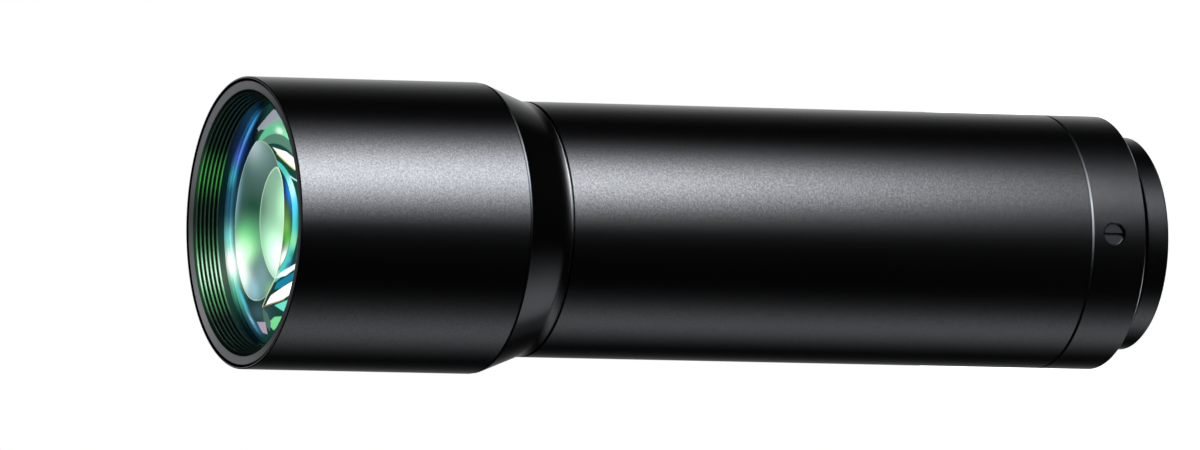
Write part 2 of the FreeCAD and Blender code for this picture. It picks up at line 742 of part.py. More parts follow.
# Mount collar: a flange with the camera's thread, and a spigot whose V groove takes the screws' points
mount_collar = turned(
    "mount_collar",
    [
        ("camera_thread_dia / 2", "0"),
        ("collar_dia / 2", "0"),
        ("collar_dia / 2", "collar_face"),
        ("collar_spigot_dia / 2", "collar_face"),
        ("collar_spigot_dia / 2", "screw_height - groove_depth"),
        ("screw_seat", "screw_height"),
        ("collar_spigot_dia / 2", "screw_height + groove_depth"),
        ("collar_spigot_dia / 2", "collar_spigot_end"),
        ("collar_bore_dia / 2", "collar_spigot_end"),
        ("collar_bore_dia / 2", "camera_thread_length"),
        ("camera_thread_dia / 2", "camera_thread_length"),
    ],
)
eased(mount_collar, "Chamfer", "collar_chamfer", [("collar_dia / 2", "0")])

# Grub screws: slotted, with a cone point that seats in the collar's groove. The slot lies along the lens.
screws = []
for index in range(SIZES["screw_count"]):
    turn = SIZES["screw_turn"] + index * 360 / SIZES["screw_count"]
    rod = doc.addObject("Part::Cylinder", f"screw_rod_{index}")
    rod.setExpression("Radius", bound("screw_dia / 2 - slide_fit"))
    rod.setExpression("Height", bound("barrel_dia / 2 - screw_recess - screw_seat - screw_dia / 2"))
    rod.setExpression("Placement.Base.z", bound("screw_seat + screw_dia / 2"))
    point = doc.addObject("Part::Cone", f"screw_point_{index}")
    point.Radius1 = 0
    point.setExpression("Radius2", bound("screw_dia / 2 - slide_fit"))
    point.setExpression("Height", bound("screw_dia / 2 - slide_fit"))
    point.setExpression("Placement.Base.z", bound("screw_seat + slide_fit"))
    blank = doc.addObject("Part::Fuse", f"screw_blank_{index}")
    blank.Base = rod
    blank.Tool = point
    slot = doc.addObject("Part::Box", f"screw_slot_{index}")
    slot.setExpression("Length", bound("screw_dia"))
    slot.setExpression("Width", bound("screw_slot_width"))
    slot.setExpression("Height", bound("screw_slot_depth"))
    slot.setExpression("Placement.Base.x", bound("-screw_dia / 2"))
    slot.setExpression("Placement.Base.y", bound("-screw_slot_width / 2"))
    slot.setExpression("Placement.Base.z", bound("barrel_dia / 2 - screw_recess - screw_slot_depth"))
    screw = doc.addObject("Part::Cut", f"screw_{index}")
    screw.Base = blank
    screw.Tool = slot
    outwards = FreeCAD.Rotation(FreeCAD.Vector(0, 0, 1), turn - 90) * FreeCAD.Rotation(
        FreeCAD.Vector(0, 1, 0), 90
    )
    screw.Placement = FreeCAD.Placement(FreeCAD.Vector(0, 0, size("screw_height")), outwards)
    screw.setExpression("Placement.Base.z", bound("screw_height"))
    screws.append(screw)
grub_screws = doc.addObject("Part::Compound", "grub_screws")
grub_screws.Label = "grub_screws"
grub_screws.Links = screws
pieces.append(grub_screws)
doc.recompute()

# Check every object, then write one STEP file for each piece
for item in doc.Objects:
    if "Invalid" in item.State or "Error" in item.State:
        raise RuntimeError(f"{item.Name} failed: {item.State}")
    if item.TypeId == "Sketcher::SketchObject" and not item.FullyConstrained:
        raise RuntimeError(f"{item.Name} is not fully constrained")
os.makedirs("parts", exist_ok=True)
for piece in pieces:
    if piece.Shape.isNull() or not piece.Shape.isValid():
        raise RuntimeError(f"{piece.Label} has no valid shape")
    piece.Shape.exportStep(f"parts/{piece.Label}.step")
    print(piece.Label, "solids", len(piece.Shape.Solids), "volume", round(piece.Shape.Volume, 1))
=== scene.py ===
import math

import bpy
from mathutils import Matrix, Vector


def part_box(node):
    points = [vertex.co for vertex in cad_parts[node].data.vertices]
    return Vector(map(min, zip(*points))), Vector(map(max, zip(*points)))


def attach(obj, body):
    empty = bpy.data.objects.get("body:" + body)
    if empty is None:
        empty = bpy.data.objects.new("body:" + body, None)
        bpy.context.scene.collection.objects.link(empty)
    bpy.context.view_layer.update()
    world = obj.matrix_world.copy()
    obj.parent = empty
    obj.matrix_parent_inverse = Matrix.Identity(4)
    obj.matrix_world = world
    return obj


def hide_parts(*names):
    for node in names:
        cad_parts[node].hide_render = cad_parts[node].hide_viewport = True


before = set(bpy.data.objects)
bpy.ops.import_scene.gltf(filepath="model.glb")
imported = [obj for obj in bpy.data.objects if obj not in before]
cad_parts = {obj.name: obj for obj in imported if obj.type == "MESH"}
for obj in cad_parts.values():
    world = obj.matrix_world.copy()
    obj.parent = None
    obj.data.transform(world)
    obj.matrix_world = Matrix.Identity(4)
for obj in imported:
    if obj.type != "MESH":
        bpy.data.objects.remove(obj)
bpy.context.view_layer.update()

# Main barrel: the long tube, black anodised. Its sheen is that of an oxide layer over fine blasting, so the
# finish has a grain of about a seventh of a millimetre, and a coarser speckle that shows in the sheen.


def select_only(piece):
    bpy.ops.object.select_all(action="DESELECT")
    piece.select_set(True)
    bpy.context.view_layer.objects.active = piece


def smooth(piece, degrees=30):
    select_only(piece)
    bpy.ops.object.shade_smooth_by_angle(angle=math.radians(degrees))
    bpy.ops.object.select_all(action="DESELECT")


def skin_of(node):
    """A copy of a CAD node, merged, so that it shades as one smooth surface."""
    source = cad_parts[node]
    piece = bpy.data.objects.new(node + "_skin", source.data.copy())
    bpy.context.collection.objects.link(piece)
    piece.data.materials.clear()
    select_only(piece)
    bpy.ops.object.mode_set(mode="EDIT")
    bpy.ops.mesh.select_all(action="SELECT")
    bpy.ops.mesh.remove_doubles(threshold=1e-6)
    bpy.ops.object.mode_set(mode="OBJECT")
    bpy.ops.mesh.customdata_custom_splitnormals_clear()
    smooth(piece)
    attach(piece, "root")
    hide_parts(node)
    return piece


def new_material(name, colour, roughness, ior=1.5):
    material = bpy.data.materials.new(name)
    material.use_nodes = True
    shader = material.node_tree.nodes["Principled BSDF"]
    shader.inputs["Base Color"].default_value = (*colour, 1)
    shader.inputs["Roughness"].default_value = roughness
    shader.inputs["IOR"].default_value = ior
    return material


def add_node(material, kind, **sockets):
    """Adds a node; a keyword names a socket in lower case with underscores for its blanks."""
    node = material.node_tree.nodes.new(kind)
    for key, value in sockets.items():
        wanted = [s for s in node.inputs if s.name.lower().replace(" ", "_") == key]
        wanted[0].default_value = value
    return node


def grain(material, size, strength, distance):
    """Fine blasted relief, fixed to the piece, and a speckle of duller and brighter grains."""
    shader = material.node_tree.nodes["Principled BSDF"]
    dull, bright = 0.38, 0.62
    place = add_node(material, "ShaderNodeTexCoord")
    noise = add_node(material, "ShaderNodeTexNoise", scale=1 / size, detail=1.0, roughness=0.6)
    bump = add_node(material, "ShaderNodeBump", strength=strength, distance=distance)
    links = material.node_tree.links
    links.new(place.outputs["Object"], noise.inputs["Vector"])
    links.new(noise.outputs["Fac"], bump.inputs["Height"])
    links.new(bump.outputs["Normal"], shader.inputs["Normal"])
    speckle = add_node(material, "ShaderNodeTexNoise", scale=0.6 / size, detail=1.0, roughness=0.6)
    shine = add_node(material, "ShaderNodeMapRange", from_min=0.3, from_max=0.7, to_min=dull, to_max=bright)
    links.new(place.outputs["Object"], speckle.inputs["Vector"])
    links.new(speckle.outputs["Fac"], shine.inputs["Value"])
    links.new(shine.outputs["Result"], shader.inputs["Specular IOR Level"])


black_anodised = new_material("black_anodised", (0.0005, 0.0005, 0.0005), 0.22, 1.75)
grain(black_anodised, 0.00014, 0.25, 0.00002)

main_barrel = skin_of("main_barrel")
main_barrel.data.materials.append(black_anodised)

# Taper ring: turned, polished and anodised without blasting, so it is glossier than the tubes and has
# no grain. Its two chamfers have painted highlights, bright lines beside the seams.


def srgb(red, green, blue):
    """Linear colour of an 8-bit screen colour."""
    levels = [v / 255 for v in (red, green, blue)]
    return tuple(v / 12.92 if v <= 0.04045 else ((v + 0.055) / 1.055) ** 2.4 for v in levels)


class Painter:
    """Layers of colour in a material, each laid on by a mask from 0 to 1, in plan millimetres: first -Y,
    which points to the front of the picture, then X."""

    def __init__(self, material, ground):
        self.nodes = material.node_tree.nodes
        self.links = material.node_tree.links
        self.shader = self.nodes["Principled BSDF"]
        place = self.nodes.new("ShaderNodeTexCoord").outputs["Object"]
        turn = self.vector("MULTIPLY", place, (1000, 1000, 0))
        turned_plan = self.nodes.new("ShaderNodeVectorRotate")
        turned_plan.rotation_type = "Z_AXIS"
        turned_plan.inputs["Angle"].default_value = math.radians(90)
        self.links.new(turn, turned_plan.inputs["Vector"])
        self.plan = turned_plan.outputs[0]
        self.place = place
        colour = self.nodes.new("ShaderNodeRGB")
        colour.outputs[0].default_value = (*srgb(*ground), 1)
        self.colour = colour.outputs[0]

    def vector(self, operation, *values):
        node = self.nodes.new("ShaderNodeVectorMath")
        node.operation = operation
        for socket, value in zip(node.inputs, values):
            if isinstance(value, bpy.types.NodeSocket):
                self.links.new(value, socket)
            else:
                socket.default_value = value
        return node.outputs["Value" if operation in ("DISTANCE", "DOT_PRODUCT", "LENGTH") else "Vector"]

    def number(self, operation, *values):
        node = self.nodes.new("ShaderNodeMath")
        node.operation = operation
        for socket, value in zip(node.inputs, values):
            if isinstance(value, bpy.types.NodeSocket):
                self.links.new(value, socket)
            else:
                socket.default_value = value
        return node.outputs[0]

    def ramp(self, value, start, end, smooth=False):
        """0 at start and 1 at end, whichever is larger."""
        node = self.nodes.new("ShaderNodeMapRange")
        node.interpolation_type = "SMOOTHSTEP" if smooth else "LINEAR"
        self.links.new(value, node.inputs["Value"])
        node.inputs["From Min"].default_value = start
        node.inputs["From Max"].default_value = end
        return node.outputs["Result"]

    def offset(self, centre, reach, lean):
        """Distance from the centre of an oval; its edge is at 1. Lean turns it anticlockwise, in degrees."""
        away = self.vector("SUBTRACT", self.plan, (*centre, 0))
        if lean:
            node = self.nodes.new("ShaderNodeVectorRotate")
            node.rotation_type = "Z_AXIS"
            node.inputs["Angle"].default_value = -math.radians(lean)
            self.links.new(away, node.inputs["Vector"])
            away = node.outputs[0]
        return self.vector("LENGTH", self.vector("DIVIDE", away, (*reach, 1)))

    def spot(self, centre, reach, lean=0):
        """A soft oval, a tenth as strong at its reach as in its middle."""
        away = self.offset(centre, reach, lean)
        return self.number("EXPONENT", self.number("MULTIPLY", self.number("MULTIPLY", away, away), -2.3))

    def oval(self, centre, reach, lean=0, soft=0.08):
        share = soft / min(reach)
        return self.ramp(self.offset(centre, reach, lean), 1 + share, 1 - share)

    def rim(self, centre, reach, width, lean=0):
        """The thin outline of an oval."""
        off = self.number("ABSOLUTE", self.number("SUBTRACT", self.offset(centre, reach, lean), 1))
        return self.ramp(off, width / min(reach), 0)

    def side(self, start, end, soft=0.07):
        """The half plane on the left of the line from start to end."""
        run, climb = end[0] - start[0], end[1] - start[1]
        length = math.hypot(run, climb)
        normal = (-climb / length, run / length, 0)
        level = normal[0] * start[0] + normal[1] * start[1]
        return self.ramp(self.vector("DOT_PRODUCT", self.plan, normal), level - soft, level + soft)

    def both(self, first, *others):
        for other in others:
            first = self.number("MULTIPLY", first, other)
        return first

    def outside(self, mask):
        return self.number("SUBTRACT", 1, mask)

    def facet(self, *corners, soft=0.07):
        """A convex patch; its corners go anticlockwise."""
        sides = [self.side(a, b, soft) for a, b in zip(corners, corners[1:] + corners[:1])]
        return self.both(*sides)

    def streak(self, start, end, width):
        """A thin straight line."""
        run, climb = end[0] - start[0], end[1] - start[1]
        length = math.hypot(run, climb)
        normal = (-climb / length, run / length, 0)
        level = normal[0] * start[0] + normal[1] * start[1]
        off = self.number("SUBTRACT", self.vector("DOT_PRODUCT", self.plan, normal), level)
        thin = self.ramp(self.number("ABSOLUTE", off), width, 0)
        along = (run / length, climb / length, 0)
        first = along[0] * start[0] + along[1] * start[1]
        reach = self.vector("DOT_PRODUCT", self.plan, along)
        last = first + length
        ends = self.both(self.ramp(reach, first, first + 0.3), self.ramp(reach, last, last - 0.3))
        return self.both(thin, ends)

    def azimuth(self, middle, spread):
        """A bell over the direction from the axis; its azimuth counts from +Y towards +X."""
        split = self.nodes.new("ShaderNodeSeparateXYZ")
        self.links.new(self.place, split.inputs[0])
        angle = self.number("ARCTAN2", split.outputs["X"], split.outputs["Y"])
        off = self.number("ABSOLUTE", self.number("SUBTRACT", angle, math.radians(middle)))
        return self.ramp(off, math.radians(spread), 0, smooth=True)

    def paint(self, colour, mask, share=1):
        node = self.nodes.new("ShaderNodeMix")
        node.data_type = "RGBA"
        self.links.new(self.number("MULTIPLY", mask, share), node.inputs[0])
        self.links.new(self.colour, node.inputs[6])
        node.inputs[7].default_value = (*srgb(*colour), 1)
        self.colour = node.outputs[2]

    def finish(self, shine=None):
        self.links.new(self.colour, self.shader.inputs["Base Color"])
        if shine is not None:
            self.links.new(self.colour, self.shader.inputs["Emission Color"])
            self.links.new(shine, self.shader.inputs["Emission Strength"])


def paint_chamfer_highlight(piece, low, high, *lights):
    """Paints highlights on a chamfer between two heights in millimetres; each a colour, a centre and a
    reach.
    """
    material = new_material(piece.name + "_edge", (0.001, 0.001, 0.001), 0.3, 1.6)
    painter = Painter(material, (6, 6, 6))
    for colour, centre, reach in lights:
        painter.paint(colour, painter.spot(centre, reach))
    painter.finish()
    piece.data.materials.append(material)
    for polygon in piece.data.polygons:
        outer = low < polygon.center.z * 1000 < high and polygon.center.xy.length > 0.0176
        if outer and 0.4 < abs(polygon.normal.z) < 0.9:
            polygon.material_index = len(piece.data.materials) - 1


bright_anodised = new_material("bright_anodised", (0.0005, 0.0005, 0.0005), 0.2, 1.75)

taper_ring = skin_of("taper_ring")
taper_ring.data.materials.append(bright_anodised)
# Painted highlights: bright lines on the taper ring's two chamfers.
paint_chamfer_highlight(taper_ring, 94.0, 94.3, ((255, 255, 255), (18, 7.6), (30, 6.0)))
paint_chamfer_highlight(taper_ring, 101.0, 101.6, ((204, 208, 214), (18, 8.6), (30, 6.2)))

# Front barrel: the wide sleeve, finished like the main barrel.
front_barrel = skin_of("front_barrel")
front_barrel.data.materials.append(black_anodised)

# Filter thread ring: the flange just below the lip, then six ridges that narrow towards the glass. The
# coating's green is painted on two stretches of them as reflections, one on each side of the far wall.


def turned(name, corners, steps=192, degrees=30):
    """A ring of revolution about Z from corners (radius, height) in millimetres."""
    mesh = bpy.data.meshes.new(name)
    points = [(radius / 1000, 0, height / 1000) for radius, height in corners]
    edges = [(i, (i + 1) % len(points)) for i in range(len(points))]
    mesh.from_pydata(points, edges, [])
    piece = bpy.data.objects.new(name, mesh)
    bpy.context.collection.objects.link(piece)
    select_only(piece)
    bpy.ops.object.mode_set(mode="EDIT")
    bpy.ops.mesh.select_all(action="SELECT")
    bpy.ops.mesh.spin(steps=steps, angle=math.tau, center=(0, 0, 0), axis=(0, 0, 1))
    bpy.ops.mesh.select_all(action="SELECT")
    bpy.ops.mesh.remove_doubles(threshold=1e-6)
    bpy.ops.mesh.normals_make_consistent(inside=False)
    bpy.ops.object.mode_set(mode="OBJECT")
    smooth(piece, degrees)
    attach(piece, "root")
    return piece


face = 136.38
thread_corners = [(19.8, 135.38), (20.03, 135.38), (20.03, face - 0.3), (19.85, face), (19.2, face)]
thread_corners += [(18.7, face - 0.2), (18.55, face - 0.34)]
ridges = 6
pitch = 0.56
first_crest = 18.15
crest_step = 0.165
for ridge in range(ridges):
    top = face - 0.36 - ridge * pitch
    crest = first_crest - ridge * crest_step
    thread_corners += [(crest, top - 0.18), (crest, top - 0.24), (crest + 0.3, top - 0.48)]
thread_corners += [(17.6, 131.9), (19.8, 131.9)]
filter_thread_ring = turned("filter_thread_ring_visual", thread_corners, degrees=25)
thread_black = new_material("thread_black", (0.001, 0.001, 0.001), 0.3, 1.6)
thread_paint = Painter(thread_black, (4, 8, 6))
apart = thread_paint.nodes.new("ShaderNodeSeparateXYZ")
thread_paint.links.new(thread_paint.place, apart.inputs[0])
depth = thread_paint.number("SUBTRACT", (face - 0.57) / 1000, apart.outputs["Z"])
narrowing = thread_paint.number("MULTIPLY", depth, 1000 * crest_step / pitch)
crest_line = thread_paint.number("SUBTRACT", first_crest, narrowing)
away = thread_paint.vector("LENGTH", thread_paint.plan)
ridge_top = thread_paint.ramp(thread_paint.number("SUBTRACT", away, crest_line), 0.2, 0.02)
inner = thread_paint.oval((0, 0), (18.7, 18.7), soft=0.05)
ridge_top = thread_paint.both(ridge_top, inner)
band = thread_paint.oval((0, 0), (19.85, 19.85))
# Painted sheen on the flange's flat face, lighter and darker by direction.
thread_paint.paint((84, 86, 88), band)
thread_paint.paint((58, 60, 62), thread_paint.both(band, thread_paint.azimuth(3, 22)))
thread_paint.paint((104, 106, 108), thread_paint.both(band, thread_paint.azimuth(-40, 30)))
far_side = thread_paint.side((8, -20), (8, 20), soft=6)
thread_paint.paint((44, 46, 48), thread_paint.both(thread_paint.outside(far_side), band))
thread_paint.paint((4, 8, 6), inner)
# Painted green reflections and highlights on the ridges, strongest near azimuths -24 and 22.
thread_paint.paint((14, 34, 25), thread_paint.both(inner, thread_paint.azimuth(0, 80)), 0.8)
thread_paint.paint((40, 62, 52), thread_paint.both(ridge_top, thread_paint.azimuth(0, 120)), 0.8)
thread_paint.paint((24, 66, 30), thread_paint.both(inner, thread_paint.azimuth(22, 18)), 0.8)
thread_paint.paint((70, 165, 80), thread_paint.both(ridge_top, thread_paint.azimuth(22, 15)), 0.9)
thread_paint.paint((28, 70, 42), thread_paint.both(inner, thread_paint.azimuth(-24, 26)), 0.8)
thread_paint.paint((120, 205, 140), thread_paint.both(ridge_top, thread_paint.azimuth(-26, 26)), 0.9)
thread_paint.paint((216, 255, 226), thread_paint.both(ridge_top, thread_paint.azimuth(-24, 13)), 1)
thread_paint.finish()
filter_thread_ring.data.materials.append(thread_black)
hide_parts("filter_thread_ring")
# Painted sheen on the lip: grey, dark on the far side and dim on the near side.
lip_black = new_material("lip_black", (0.001, 0.001, 0.001), 0.3, 1.6)
lip_paint = Painter(lip_black, (78, 80, 82))
lip_paint.paint((8, 8, 8), lip_paint.azimuth(0, 75))
lip_paint.paint((34, 35, 36), lip_paint.outside(lip_paint.side((8, -20), (8, 20), soft=6)))
lip_paint.finish()
front_barrel.data.materials.append(lip_black)
lip_height = 0.13649
for polygon in front_barrel.data.polygons:
    polygon.material_index = 1 if polygon.center.z > lip_height else 0

# Front retaining ring: matte black, at the bottom of the thread.
matte_anodised = new_material("matte_anodised", (0.004, 0.004, 0.0042), 0.5, 1.6)

front_retaining_ring = skin_of("front_retaining_ring")
front_retaining_ring.data.materials.append(matte_anodised)

# Front crown lens: a thick lens, convex on both faces, with a green multilayer coating. Its colour is
# painted reflections, as they show in such a group: the images of the lenses behind it, as two pointed
# ovals one in the other, with slivers of the spacers and faces beyond their right-hand edge.


def arc(curvature, vertex, start, end, count=14):
    """Points of a spherical face, from radius start to end; a negative curvature bulges downwards."""
    reach = [start + (end - start) * i / (count - 1) for i in range(count)]
    depth = [abs(curvature) - math.sqrt(curvature**2 - r**2) for r in reach]
    return [(r, vertex - math.copysign(d, curvature)) for r, d in zip(reach, depth)]


crown_low, crown_high = (1000 * corner[2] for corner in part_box("front_crown_lens"))
crown_radius = 18.2
crown_corners = arc(-44, crown_low, 0, crown_radius) + arc(58, crown_high, crown_radius, 0)
front_crown_lens = turned("front_crown_lens_visual", crown_corners)
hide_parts("front_crown_lens")

coated_glass = new_material("coated_glass", (0.012, 0.03, 0.022), 0.04, 1.26)
glass = Painter(coated_glass, (7, 14, 17))
across = glass.vector("DOT_PRODUCT", glass.plan, (1, 0, 0))
bow = glass.number("MULTIPLY", glass.number("MULTIPLY", across, across), 0.0018)
move = glass.number("ADD", bow, glass.number("MULTIPLY", across, -0.03))
stretch = glass.nodes.new("ShaderNodeCombineXYZ")
glass.links.new(move, stretch.inputs["X"])
glass.plan = glass.vector("ADD", glass.plan, stretch.outputs[0])
glass.plan = glass.vector("ADD", glass.plan, (0.98, -0.05, 0))

# Painted haze of reflected colour round the ovals
glass.paint((14, 40, 52), glass.spot((-14, 8), (7, 7)))
glass.paint((64, 130, 165), glass.spot((-17, 3), (7, 5)))
glass.paint((18, 62, 62), glass.spot((-12.2, 1.0), (2.6, 6)))
glass.paint((130, 215, 215), glass.spot((-17.2, -2.2), (7, 3.4)))
glass.paint((24, 58, 120), glass.spot((-10.8, 9.0), (5.5, 2.0), 47))
glass.paint((70, 165, 225), glass.spot((-9.2, 12.9), (6.0, 1.1), 46))
glass.paint((112, 142, 240), glass.spot((-12.4, 9.2), (4.0, 1.1), 50))
glass.paint((96, 215, 235), glass.spot((-14.8, 6.1), (3.6, 1.5), 50))
glass.paint((18, 52, 58), glass.spot((-8.5, -12.6), (9, 2.8), -40))
glass.paint((96, 190, 165), glass.spot((-13.8, -9.4), (7.0, 2.6), -30))
glass.paint((158, 240, 208), glass.spot((-14.2, -6.2), (9.0, 4.4), -6))
glass.paint((254, 255, 254), glass.spot((-14.0, -5.9), (6.0, 2.9), -4))
glass.paint((80, 205, 225), glass.spot((-8.9, -10.8), (5.4, 1.0), -43))
glass.paint((110, 205, 225), glass.spot((-6.2, -13.6), (3.4, 0.6), -35))
glass.paint((190, 240, 255), glass.spot((-6.0, -13.8), (2.0, 0.4), -35))
glass.paint((50, 105, 150), glass.spot((-3.2, -15.0), (5.5, 0.9), -18))

# Painted behind the right-hand edge: dark space, and reflected slivers of white, cyan and green
right_half = glass.side((-2, 20), (-2, -20))
oval_left = glass.number("MAXIMUM", glass.oval((-1.74, 0.81), (8.6, 11.88), -14), right_half)
oval_right = glass.oval((-2.74, 0.27), (10.69, 11.21), 11)
past_right = glass.outside(oval_right)
beyond = glass.both(past_right, glass.side((-4.2, 16.5), (-3.0, -16.5), soft=1.6))
glass.paint((20, 54, 48), beyond)
glass.paint((52, 78, 86), glass.both(past_right, glass.spot((-2.5, -12.6), (7, 2.0))))
glass.paint((44, 80, 68), glass.both(beyond, glass.spot((-2.5, 12.2), (4, 2))))
glass.paint((140, 146, 155), glass.facet((-5.2, 13.2), (-4.4, 12.8), (2.2, 14.8), (1.0, 15.8), (-0.8, 15.9)))
glass.paint((132, 176, 160), glass.facet((-3.6, 13.1), (-1.4, 13.0), (4.4, 14.0), (2.2, 14.9)), 0.8)
glass.paint((92, 178, 134), glass.both(past_right, glass.oval((3.2, 8.7), (7.6, 5.2), -10)), 0.95)
glass.paint((128, 228, 168), glass.both(beyond, glass.spot((6.6, 11.6), (3.0, 1.6), -20)))
glass.paint((205, 236, 212), glass.spot((3.2, 12.9), (2.0, 0.7), -12))
glass.paint((76, 112, 100), glass.both(past_right, glass.oval((3.4, 7.3), (7.8, 5.1), -10)), 0.95)
glass.paint((22, 60, 52), glass.both(past_right, glass.oval((3.6, 5.7), (8.8, 5.3), -10)))
glass.paint((44, 112, 98), glass.both(beyond, glass.spot((8.9, 10.6), (1.6, 1.2), -28)))
glass.paint((252, 255, 250), glass.facet((2.2, 10.6), (5.2, 9.3), (9.9, 7.5), (9.7, 8.9), (6.6, 10.0)))
glass.paint((235, 226, 130), glass.streak((3.6, 9.9), (9.9, 7.45), 0.2), 0.8)
glass.paint((190, 232, 216), glass.streak((6.2, 7.35), (10.8, 5.9), 0.16))
gap = glass.both(past_right, glass.oval((1.2, 0.4), (8.9, 8.2)), glass.side((5.6, 0), (5.6, -1)))
glass.paint((14, 44, 70), glass.both(gap, glass.spot((7.6, 5), (2.4, 5))))
glass.paint((28, 120, 215), glass.both(gap, glass.spot((9.0, 4.2), (1.1, 3.4), 25)))
glass.paint((62, 92, 54), glass.both(gap, glass.spot((8.4, 1.8), (1.5, 2.2))))
glass.paint((100, 150, 72), glass.both(gap, glass.spot((8.6, -0.6), (1.8, 2.6))))
glass.paint((70, 165, 60), glass.both(gap, glass.spot((9.2, -2.4), (1.8, 2.0))))
glass.paint((238, 250, 236), glass.both(gap, glass.spot((7.8, -4.8), (2.8, 1.3), 42)))
crescent = glass.both(glass.oval((1.9, 0.2), (9.8, 8.8)), glass.outside(glass.oval((1.4, 0.4), (8.8, 8.2))))
crescent = glass.both(crescent, past_right)
glass.paint((66, 180, 170), crescent)
glass.paint((70, 190, 235), glass.both(crescent, glass.spot((10.4, 2.8), (2.2, 3.4))))
glass.paint((175, 240, 252), glass.both(crescent, glass.spot((9.4, 5.0), (2.4, 2.6), -50)))
glass.paint((126, 200, 150), glass.both(crescent, glass.spot((10.6, -2.4), (2, 2.0))))
glass.paint((40, 108, 86), glass.both(crescent, glass.spot((10.4, -4.6), (1.4, 1.2))))
glass.paint((44, 112, 150), glass.spot((8.9, -5.8), (1.7, 0.6), 38))
glass.paint((22, 88, 92), glass.both(beyond, glass.spot((11.9, 1.0), (0.9, 6))))
glass.paint((220, 246, 240), glass.facet((5.2, -7.7), (8.0, -7.3), (10.6, -6.3), (10.8, -5.6), (6.3, -7.0)))
blue_sliver = glass.facet((4.2, -9.3), (6.5, -9.0), (9.9, -7.8), (10.4, -6.7), (7.5, -7.6), (5.3, -8.3))
glass.paint((22, 112, 142), blue_sliver)
glass.paint((255, 255, 252), glass.facet((0.6, -11.6), (5.5, -10.9), (8.9, -9.8), (9.8, -8.0), (2.8, -10.2)))
glass.paint((120, 112, 66), glass.streak((-0.7, -11.8), (7, -10.6), 0.16))
glass.paint((96, 205, 180), glass.facet((3.6, -11.5), (6.6, -12.5), (8.2, -10.6)))
glass.paint((108, 200, 134), glass.facet((0.2, -14.1), (1.8, -15.0), (3.9, -14.3), (5.3, -13.0), (3, -13.1)))
grey_sliver = glass.facet((-0.6, -11.9), (-1.0, -13.9), (0.4, -15.2), (1.4, -14.0), (0.8, -12.6))
glass.paint((70, 100, 90), grey_sliver)
glass.paint((162, 147, 164), glass.facet((-3.9, -13.9), (-2.4, -15.4), (-0.6, -15.6), (-0.5, -13.9)))

# First oval, painted reflection: grey green above, a dark belt, then bright green into white at the lower
# left
first = glass.both(oval_left, oval_right)
glass.paint((56, 84, 77), first)
glass.paint((96, 124, 120), glass.both(first, glass.spot((-3, 10.0), (12, 4.6), -10)))
glass.paint((158, 178, 182), glass.both(first, glass.spot((-5.6, 11.2), (6.5, 3.2), -12)))
glass.paint((124, 162, 180), glass.both(first, glass.spot((-10.6, 3.4), (3.2, 8), -10)))
glass.paint((30, 66, 52), glass.both(first, glass.spot((-1.6, 2.2), (8, 2.6), -4)))
glass.paint((64, 122, 88), glass.both(first, glass.spot((2, -2.5), (4.5, 3.5))))
glass.paint((100, 198, 124), glass.both(first, glass.spot((-6.0, -2.4), (8.6, 3.6), 4)))
glass.paint((180, 252, 190), glass.both(first, glass.spot((-6.0, -4.2), (7.6, 2.8), 4)))
glass.paint((104, 136, 138), glass.both(first, glass.spot((1.0, -7.4), (4.5, 4.2))))
glass.paint((206, 238, 222), glass.both(first, glass.spot((-7.0, -7.8), (5.4, 3.4), -14)))
glass.paint((126, 172, 184), glass.both(first, glass.spot((-3.0, -9.4), (4.2, 2.6))))
glass.paint((255, 255, 255), glass.both(first, glass.spot((-9.4, -5.7), (6.4, 4.2), -8)))
glass.paint((104, 150, 130), glass.both(first, glass.spot((2.4, -9.0), (3.2, 1.2), 20)))
left_rim = glass.both(glass.rim((-1.74, 0.81), (8.6, 11.88), 0.16, -14), glass.side((-2, -20), (-2, 20)))
glass.paint((190, 212, 220), glass.both(oval_right, left_rim), 0.7)
glass.paint((170, 192, 150), glass.both(oval_left, glass.rim((-2.74, 0.27), (10.69, 11.21), 0.12, 11)), 0.6)

# Second oval, painted reflection: paler, and almost white at its foot
inner_left = glass.oval((5.55, -0.05), (4.9, 7.94), 6)
inner_right = glass.oval((2.72, -0.44), (5.08, 8.55), -7)
second = glass.both(inner_left, inner_right)
glass.paint((116, 156, 132), second)
glass.paint((88, 122, 104), glass.both(second, glass.spot((1.2, 2.2), (2.8, 4))))
glass.paint((162, 216, 176), glass.both(second, glass.spot((7.6, 2.6), (3.0, 6))))
glass.paint((158, 222, 176), glass.both(second, glass.spot((4.8, -3.2), (5.5, 4.2))))
glass.paint((226, 252, 240), glass.both(second, glass.spot((6.2, -4.6), (4.4, 4.0), 30)))
glass.paint((188, 222, 190), glass.both(inner_right, glass.rim((5.55, -0.05), (4.9, 7.94), 0.13, 6)), 0.8)
glass.paint((232, 238, 196), glass.both(inner_left, glass.rim((2.72, -0.44), (5.08, 8.55), 0.11, -7)), 0.8)
glass.paint((206, 204, 150), glass.streak((6.4, -6.6), (-0.7, -11.9), 0.13), 0.9)
# A painted glow: on its far side the glass also gives off its painted colour as light.
glass.finish(shine=glass.number("MULTIPLY", glass.spot((-16, -4.5), (7, 9)), 0.4))
front_crown_lens.data.materials.append(coated_glass)
# Painted reflections of the glass also cover the retaining ring's bore bevel.
front_retaining_ring.data.materials.append(coated_glass)
bevel_height = 0.1311
bevel_reach = 0.0179
for polygon in front_retaining_ring.data.polygons:
    bevel = polygon.center.z > bevel_height and polygon.center.xy.length < bevel_reach
    polygon.material_index = 1 if bevel else 0
